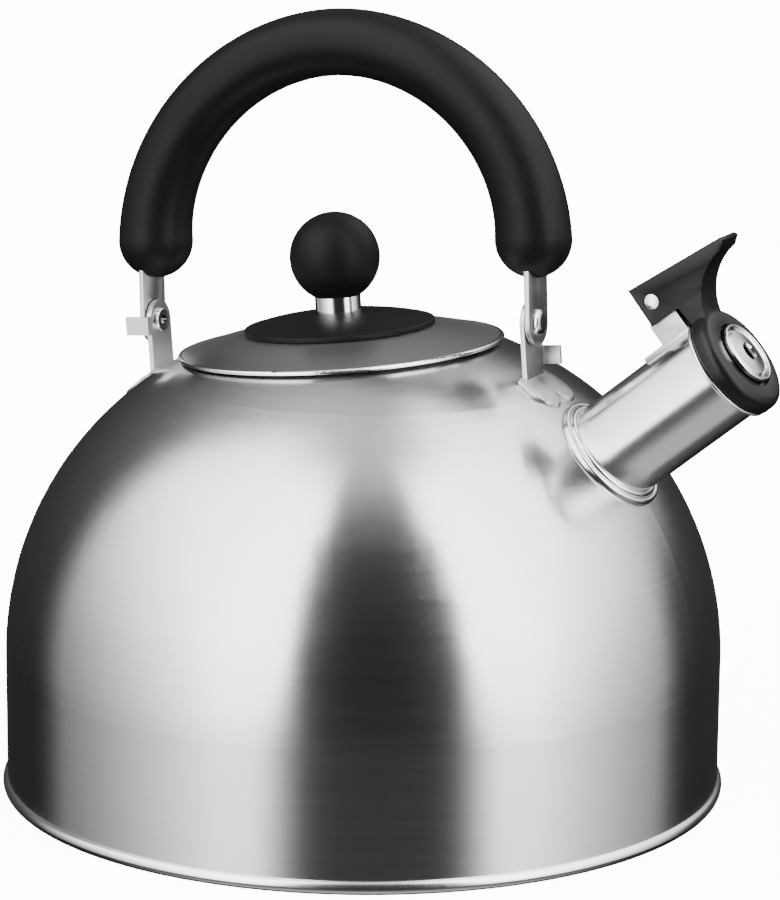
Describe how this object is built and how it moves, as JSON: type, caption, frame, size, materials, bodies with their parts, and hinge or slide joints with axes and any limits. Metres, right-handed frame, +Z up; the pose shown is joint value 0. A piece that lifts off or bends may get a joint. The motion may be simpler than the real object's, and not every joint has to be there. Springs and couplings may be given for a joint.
{
  "type": "stovetop whistling kettle",
  "caption": "Domed stovetop kettle with a fold-down arch handle, a lift-off lid with a ball knob, and a short spout with a sprung flip-up whistle cap.",
  "frame": {"origin": "centre of the flat base, on the stove", "axes": "+Z up, +X towards the spout, Y across"},
  "size_m": [0.2396, 0.2196, 0.2349],
  "materials": {
    "body_steel": "satin brushed stainless steel",
    "base_steel": "satin stainless steel with a polished seam",
    "spout_steel": "polished stainless steel",
    "collar_steel": "polished stainless steel",
    "ear_steel": "satin brushed stainless steel",
    "bracket_steel": "satin brushed stainless steel",
    "pin_steel": "polished stainless steel",
    "spring_steel": "drawn spring steel wire",
    "handle_plastic": "satin black phenolic plastic",
    "strap_steel": "satin brushed stainless steel",
    "rivet_steel": "polished stainless steel",
    "washer_steel": "satin brushed stainless steel",
    "lid_steel": "satin brushed stainless steel",
    "skirt_steel": "satin brushed stainless steel",
    "disc_plastic": "satin black phenolic plastic",
    "ferrule_steel": "polished stainless steel",
    "knob_plastic": "satin black phenolic plastic",
    "insert_brass": "turned brass",
    "screw_steel": "satin brushed stainless steel",
    "cap_plastic": "semi-gloss black phenolic plastic",
    "whistle_steel": "polished stainless steel"
  },
  "bodies": {
    "kettle": {"body_shell": "body_steel", "base_pan": "base_steel", "spout_tube": "spout_steel", "spout_collar": "collar_steel", "left_ear": "ear_steel", "right_ear": "ear_steel", "cap_bracket": "bracket_steel", "cap_pin": "pin_steel", "cap_spring": "spring_steel"},
    "handle": {"handle_grip": "handle_plastic", "left_strap": "strap_steel", "right_strap": "strap_steel", "left_rivet": "rivet_steel", "right_rivet": "rivet_steel", "left_washer": "washer_steel", "right_washer": "washer_steel"},
    "lid": {"lid_shell": "lid_steel", "lid_skirt": "skirt_steel", "knob_disc": "disc_plastic", "knob_ferrule": "ferrule_steel", "lid_knob": "knob_plastic", "knob_insert": "insert_brass", "knob_washer": "screw_steel", "knob_screw": "screw_steel"},
    "cap": {"cap_body": "cap_plastic", "whistle_cup": "whistle_steel", "whistle_front_plate": "whistle_steel", "whistle_back_plate": "whistle_steel"}
  },
  "joints": [
    {"name": "handle_fold", "type": "hinge", "parent": "kettle", "child": "handle", "pos_m": [-0.0087, 0, 0.14214], "axis": [-0.9965, 0, -0.0837], "range_deg": [-8, 88]},
    {"name": "lid_lift", "type": "slide", "parent": "kettle", "child": "lid", "axis": [-0.0854, 0, 0.9963], "range_m": [0, 0.032]},
    {"name": "cap_flip", "type": "hinge", "parent": "kettle", "child": "cap", "pos_m": [0.09358, 0, 0.15799], "axis": [0, -1, 0], "range_deg": [0, 75], "stiffness_Nm_per_rad": 0.01, "springref_deg": -114.59}
  ]
}
